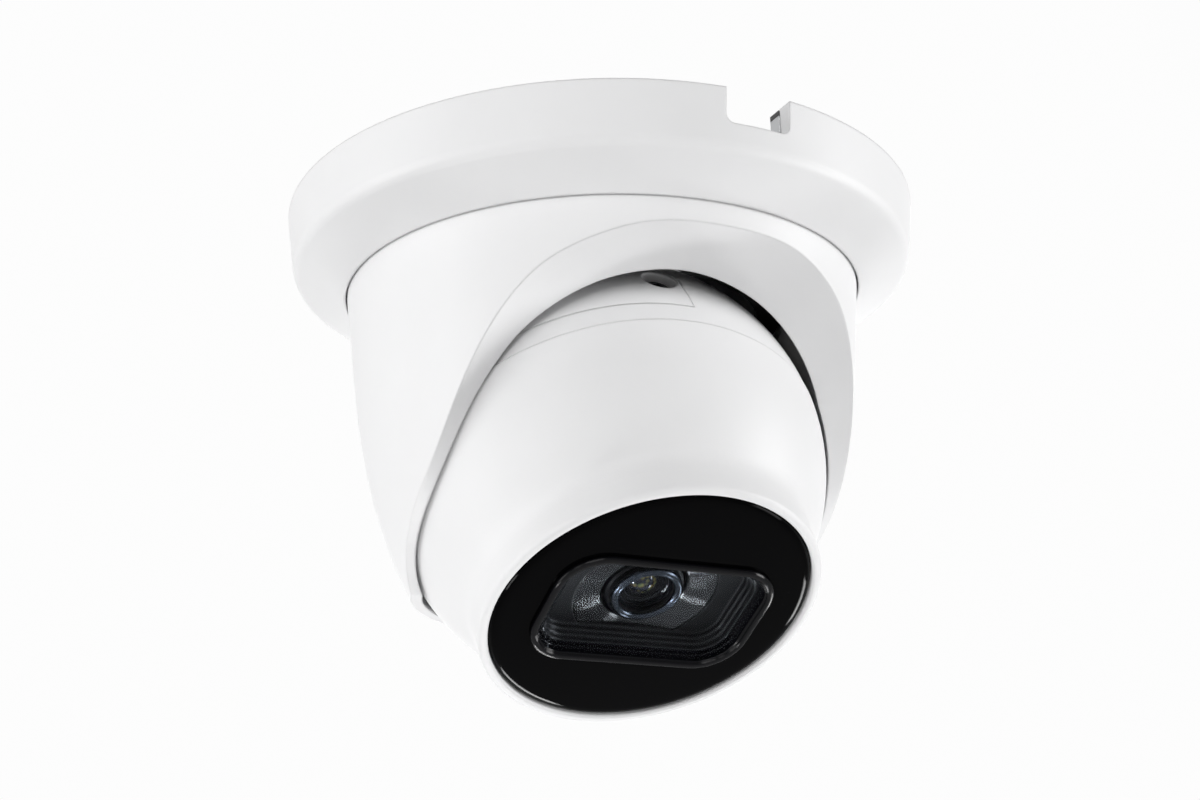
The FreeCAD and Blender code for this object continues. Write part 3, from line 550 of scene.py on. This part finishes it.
def front_panel():
    """Black face: crowned, its rim rolled over, with a softened edge round the window."""
    hole = grown(*GLASS_SIZE, PANEL_GAP)

    def crown(radius):
        return PANEL_TOP - PANEL_CROWN * (radius / CROWN_TO) ** 2

    loops = [polar_loop(hole, PANEL_BACK), polar_loop(hole, lambda r: crown(r) - 0.25)]
    for step, drop in ((0.05, 0.1), (0.16, 0.02), (0.3, 0.0)):
        loops.append(polar_loop(lambda a, g=step: hole(a) + g, lambda r, d=drop: crown(r) - d))
    for share in (0.2, 0.4, 0.6, 0.8, 1.0):
        loops.append(polar_loop(lambda a, k=share: (hole(a) + 0.3) * (1 - k) + PLAIN_TO * k, crown))
    for radius, drop in ((27.7, 0.02), (28.1, 0.06), (28.5, 0.14), (28.8, 0.24), (29.05, 0.38),
                         (29.25, 0.58), (29.38, 0.84), (29.43, 1.1)):
        loops.append(polar_loop(circle_reach(radius), crown(radius) - drop))
    loops.append(polar_loop(circle_reach(PANEL_RADIUS - 0.02), PANEL_BACK))
    finish_piece("face_panel", loft(loops, closed=True), "black_acrylic", "ball_front",
                 ["front_panel"])


def groove_reach(angle):
    """Outer limit of the grooved dish: round, but cut short by the tray's long walls."""
    return min(GROOVES_TO + 0.1, rectangle_reach(*RECESS_SIZE)(angle) - 0.5)


def groove_level(radius):
    """Height of the dish: a shallow cone carrying evenly pitched round grooves."""
    turn = (radius - GROOVES_FROM) / GROOVE_PITCH
    slope = GROOVE_RISE * (radius - GROOVES_FROM) / (GROOVES_TO - GROOVES_FROM)
    return DISH_FLOOR + slope + GROOVE_DEPTH / 2 * (1 - math.cos(2 * math.pi * turn))


def groove_ring():
    """Dish round the lens, turned in fine round grooves that break up stray light."""
    bore = circle_reach(BARREL_HOLE)
    loops = [polar_loop(bore, DISH_SEAT + FIT), polar_loop(bore, DISH_FLOOR - 0.25),
             polar_loop(circle_reach(8.1), DISH_FLOOR - 0.05)]
    steps = int((GROOVES_TO - GROOVES_FROM) / GROOVE_PITCH) * GROOVE_STEPS
    for k in range(steps + 1):
        radius = GROOVES_FROM + k * GROOVE_PITCH / GROOVE_STEPS
        loops.append(polar_loop(lambda a, r=radius: min(r, groove_reach(a) - FIT), groove_level))
    loops.append(polar_loop(lambda a: groove_reach(a) - FIT, groove_level))
    loops.append(polar_loop(lambda a: groove_reach(a) - FIT, DISH_SEAT + FIT))
    finish_piece("lens_groove_ring", loft(loops, closed=True), "grooved_black", "ball_front")


def lens_shroud():
    """Tray behind the window: flat floor and stepped walls, with a seat for the grooved dish."""
    bore = circle_reach(BARREL_HOLE)
    loops = [polar_loop(bore, TRAY_BACK), polar_loop(bore, DISH_SEAT),
             polar_loop(groove_reach, DISH_SEAT), polar_loop(groove_reach, SHROUD_FLOOR - 0.04),
             polar_loop(lambda a: groove_reach(a) + 0.04, SHROUD_FLOOR)]
    for grow, height in ((-0.4, 29.2), (-0.2, 29.26), (-0.05, 29.4), (0.0, 29.6), (0.0, 30.2),
                         (0.05, 30.32), (0.32, 30.36), (0.38, 30.5), (0.38, 31.2), (0.43, 31.32),
                         (0.68, 31.36), (0.74, 31.5), (0.74, 32.3), (0.85, 32.45), (1.0, 32.5),
                         (1.4, 32.5), (1.4, 31.2), (2.0, 31.2), (2.0, TRAY_BACK)):
        loops.append(polar_loop(grown(*RECESS_SIZE, grow), height))
    finish_piece("lens_shroud_tray", loft(loops, closed=True), "matte_black", "ball_front",
                 ["lens_shroud"])


def window_frame():
    """Raised frame with a rounded outer edge, a flat land and a fine step to the glass."""
    profile = ((0.0, PANEL_TOP - 0.02), (0.0, 34.3), (-0.04, 34.46), (-0.13, 34.58), (-0.26, 34.65),
               (-0.42, 34.68), (-1.02, 34.7), (-1.14, 34.66), (-1.22, 34.58), (-1.26, 34.46), (-1.28, 34.2),
               (-1.34, 34.1), (-1.62, 34.04))
    loops = [polar_loop(grown(*FRAME_SIZE, grow), height) for grow, height in profile]
    inner = ((0.02, 33.9), (0.02, 32.6), (-1.3, 32.6), (-1.3, 32.55), (-1.3, 31.5), (0.55, 31.5),
             (0.55, 33.88))
    loops += [polar_loop(grown(*GLASS_SIZE, grow), height) for grow, height in inner]
    finish_piece("window_bezel", loft(loops, closed=True), "frame_black", "ball_front",
                 ["window_frame"])


def lens_window():
    """Clear slab with softened edges."""
    profile = ((-0.1, 32.62), (0.0, 32.72), (0.0, 33.85), (-0.05, 33.94), (-0.16, 33.98))
    loops = [polar_loop(grown(*GLASS_SIZE, grow - 0.03), height) for grow, height in profile]
    finish_piece("window_pane", loft(loops), "window_clear", "ball_front", ["lens_window"])


def lens_ring():
    """Satin front ring of the lens: chamfered lip outside, a fine step and a chamfered bore inside."""
    profile = ((6.7, 29.2), (6.7, 29.55), (6.62, 29.7), (6.2, 29.98), (6.02, 30.0), (5.92, 29.93),
               (5.86, 29.82), (5.74, 29.8), (5.66, 29.86), (5.42, 29.86), (5.22, 29.7), (5.15, 29.5),
               (5.15, 29.2))
    loops = [polar_loop(circle_reach(radius), height) for radius, height in profile]
    finish_piece("lens_trim_ring", loft(loops, closed=True), "lens_metal", "ball_front",
                 ["lens_front_ring"])


def dome(name, radius, base, edge, crown, material, replaced=()):
    """Solid lens element: flat back at base, cylindrical edge, spherical front."""
    curve = (radius ** 2 + crown ** 2) / (2 * crown)
    loops = [polar_loop(circle_reach(radius), base)]
    for k in range(DOME_RINGS):
        r = radius * math.cos(0.5 * math.pi * k / DOME_RINGS)
        height = edge + crown - curve + math.sqrt(curve ** 2 - r ** 2)
        loops.append(polar_loop(circle_reach(max(r, 0.02)), height))
    finish_piece(name, loft(loops), material, "ball_front", replaced)


def lens_stops():
    """Black stepped stops inside the barrel, narrowing to the aperture."""
    steps = ((5.05, 28.2, 4.5), (4.6, 27.6, 3.5), (4.1, 27.0, 2.55))
    for number, (outer, top, inner) in enumerate(steps, 1):
        profile = ((outer, top - 0.5), (outer, top), (inner + 0.1, top), (inner, top - 0.1),
                   (inner, top - 0.5))
        loops = [polar_loop(circle_reach(radius), height) for radius, height in profile]
        finish_piece("lens_stop_%d" % number, loft(loops, closed=True), "lens_stop", "ball_front")


def lens_pieces():
    front_panel()
    groove_ring()
    lens_shroud()
    window_frame()
    lens_window()
    lens_ring()
    lens_stops()
    dome("front_lens_dome", 5.08, 28.3, 28.45, 0.95, "lens_glass", ["lens_front_element"])
    dome("second_lens", 2.5, 26.6, 27.0, 0.95, "lens_inner")


lens_pieces()
studio()
floor()
